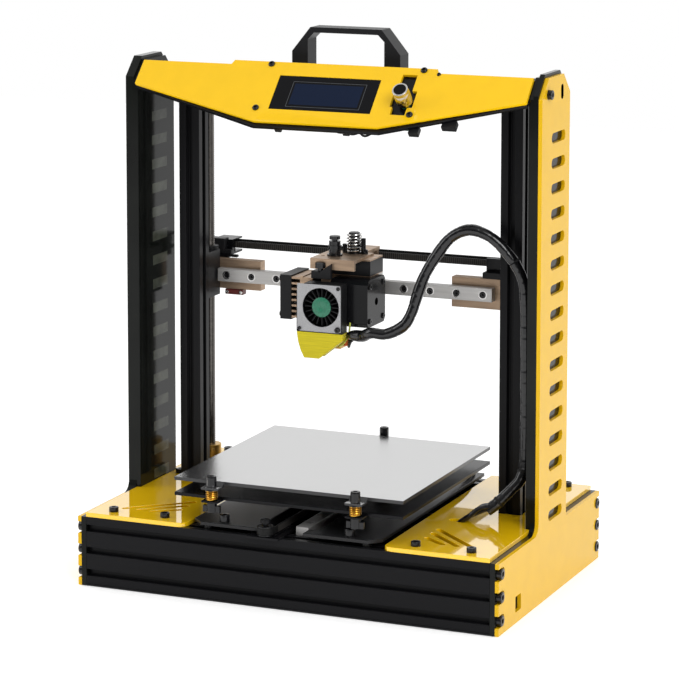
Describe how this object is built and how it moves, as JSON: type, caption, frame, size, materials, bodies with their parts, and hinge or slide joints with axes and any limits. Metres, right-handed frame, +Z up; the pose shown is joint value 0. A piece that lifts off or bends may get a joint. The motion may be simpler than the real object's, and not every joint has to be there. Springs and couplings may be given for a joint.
{
  "type": "fdm printer",
  "caption": "Desktop filament printer with a low base, two side towers, a climbing gantry with print head, a sliding bed and a tilted control console.",
  "frame": {"origin": "middle of the footprint, on the table", "axes": "+Z up, +X to the right seen from the front, +Y from the front to the back"},
  "size_m": [0.393, 0.276, 0.4878],
  "materials": {
    "black_metal": "satin black",
    "speckled_metal": "fine-textured satin black",
    "yellow_panel": "high gloss",
    "black_plastic": "fine matt",
    "champagne_aluminium": "satin anodised",
    "bare_steel": "bright",
    "chrome_knob": "polished",
    "brass": "satin",
    "rubber": "matt",
    "sleeve": "braided",
    "circuit_board": "solder mask",
    "screen": "glossy",
    "green_plastic": "satin"
  },
  "bodies": {
    "frame": {"front_beam": "black_metal", "rear_beam": "black_metal", "bottom_plate": "black_metal", "side_plate_left": "black_metal", "side_plate_right": "black_metal", "side_panel_left": "yellow_panel", "side_panel_right": "yellow_panel", "base_cover_left": "yellow_panel", "base_cover_right": "yellow_panel", "centre_plate": "speckled_metal", "centre_beam": "black_metal", "post_left": "black_metal", "post_right": "black_metal", "top_beam": "black_metal", "console_panel": "yellow_panel", "console_backplate": "black_metal", "handle": "black_plastic", "display_module": "screen", "y_rail": "bare_steel", "y_idler_bracket": "black_metal", "y_belt": "rubber", "y_motor": "black_metal", "z_motor_left": "black_metal", "z_motor_right": "black_metal", "controller_board": "circuit_board", "cable_bundle": "sleeve"},
    "gantry": {"z_block_left": "black_plastic", "z_block_right": "black_plastic", "end_block_left": "champagne_aluminium", "end_block_right": "champagne_aluminium", "x_rail": "bare_steel", "x_idler_bracket": "black_metal", "x_motor": "black_metal", "x_belt": "rubber"},
    "print_head": {"carriage_block": "bare_steel", "carriage_bracket": "champagne_aluminium", "extruder_motor": "black_metal", "extruder_block": "champagne_aluminium", "heat_sink": "champagne_aluminium", "fan_frame": "black_plastic", "blower_housing": "bare_steel", "air_duct": "yellow_panel", "hot_end": "brass"},
    "fan_rotor": {"fan_rotor": "black_plastic"},
    "blower_wheel": {"blower_wheel": "green_plastic"},
    "drive_gear": {"drive_gear": "brass"},
    "pressure_lever": {"pressure_lever": "black_plastic"},
    "lead_screw_left": {"lead_screw_left": "bare_steel"},
    "lead_screw_right": {"lead_screw_right": "bare_steel"},
    "x_drive_pulley": {"x_drive_pulley": "bare_steel"},
    "bed": {"bed_carriage": "bare_steel", "bed_support": "black_metal", "bed_plate": "black_metal"},
    "y_drive_pulley": {"y_drive_pulley": "bare_steel"},
    "y_idler_pulley": {"y_idler_pulley": "bare_steel"},
    "level_screw_left": {"level_screw_left": "bare_steel"},
    "level_screw_right": {"level_screw_right": "bare_steel"},
    "level_screw_rear": {"level_screw_rear": "bare_steel"},
    "encoder_shaft": {"encoder_shaft": "bare_steel"},
    "control_knob": {"control_knob": "chrome_knob"}
  },
  "joints": [
    {"name": "z_lift", "type": "slide", "parent": "frame", "child": "gantry", "axis": [0, 0, 1], "range_m": [-0.085, 0.105], "deforming": ["cable_bundle"]},
    {"name": "x_slide", "type": "slide", "parent": "gantry", "child": "print_head", "axis": [1, 0, 0], "range_m": [-0.08, 0.095], "deforming": ["cable_bundle"]},
    {"name": "y_slide", "type": "slide", "parent": "frame", "child": "bed", "axis": [0, 1, 0], "range_m": [-0.07, 0.1]},
    {"name": "lead_screw_left_turn", "type": "hinge", "parent": "frame", "child": "lead_screw_left", "pos_m": [-0.154, 0.055, 0.066], "axis": [0, 0, 1], "range_deg": [-3830, 4730]},
    {"name": "lead_screw_right_turn", "type": "hinge", "parent": "frame", "child": "lead_screw_right", "pos_m": [0.154, 0.055, 0.066], "axis": [0, 0, 1], "range_deg": [-3830, 4730]},
    {"name": "x_drive_turn", "type": "hinge", "parent": "gantry", "child": "x_drive_pulley", "pos_m": [0.1495, 0.09, 0.275], "axis": [0, 0, 1], "range_deg": [-725, 860]},
    {"name": "y_drive_turn", "type": "hinge", "parent": "frame", "child": "y_drive_pulley", "pos_m": [-0.0153, 0.0956, 0.068], "axis": [0, 0, 1], "range_deg": [-905, 635]},
    {"name": "y_idler_turn", "type": "hinge", "parent": "frame", "child": "y_idler_pulley", "pos_m": [-0.0153, -0.13, 0.068], "axis": [0, 0, 1], "range_deg": [-905, 635]},
    {"name": "fan_turn", "type": "hinge", "parent": "print_head", "child": "fan_rotor", "pos_m": [-0.05325, 0.02, 0.246], "axis": [1, 0, 0], "continuous": true},
    {"name": "blower_turn", "type": "hinge", "parent": "print_head", "child": "blower_wheel", "pos_m": [-0.01345, -0.008, 0.2418], "axis": [0, 1, 0], "continuous": true},
    {"name": "feed_turn", "type": "hinge", "parent": "print_head", "child": "drive_gear", "pos_m": [-0.02345, 0.021, 0.2442], "axis": [1, 0, 0], "continuous": true},
    {"name": "lever_release", "type": "hinge", "parent": "print_head", "child": "pressure_lever", "pos_m": [-0.02345, 0.007, 0.236], "axis": [1, 0, 0], "range_deg": [0, 6]},
    {"name": "level_left_turn", "type": "hinge", "parent": "bed", "child": "level_screw_left", "pos_m": [-0.067, -0.128, 0.09], "axis": [0, 0, 1], "continuous": true},
    {"name": "level_right_turn", "type": "hinge", "parent": "bed", "child": "level_screw_right", "pos_m": [0.067, -0.128, 0.09], "axis": [0, 0, 1], "continuous": true},
    {"name": "level_rear_turn", "type": "hinge", "parent": "bed", "child": "level_screw_rear", "pos_m": [0, 0.103, 0.09], "axis": [0, 0, 1], "continuous": true},
    {"name": "knob_push", "type": "slide", "parent": "frame", "child": "encoder_shaft", "axis": [0, -0.7071, 0.7071], "range_m": [-0.0005, 0]},
    {"name": "knob_turn", "type": "hinge", "parent": "encoder_shaft", "child": "control_knob", "pos_m": [0.0765, -0.04654, 0.43727], "axis": [0, -0.7071, 0.7071], "continuous": true}
  ],
  "couplings": [
    {"joint": "lead_screw_left_turn", "follows": "z_lift", "rad_per_m": 785.4},
    {"joint": "lead_screw_right_turn", "follows": "z_lift", "rad_per_m": 785.4},
    {"joint": "x_drive_turn", "follows": "x_slide", "rad_per_m": 157.08},
    {"joint": "y_drive_turn", "follows": "y_slide", "rad_per_m": -157.08},
    {"joint": "y_idler_turn", "follows": "y_slide", "rad_per_m": -157.08}
  ]
}
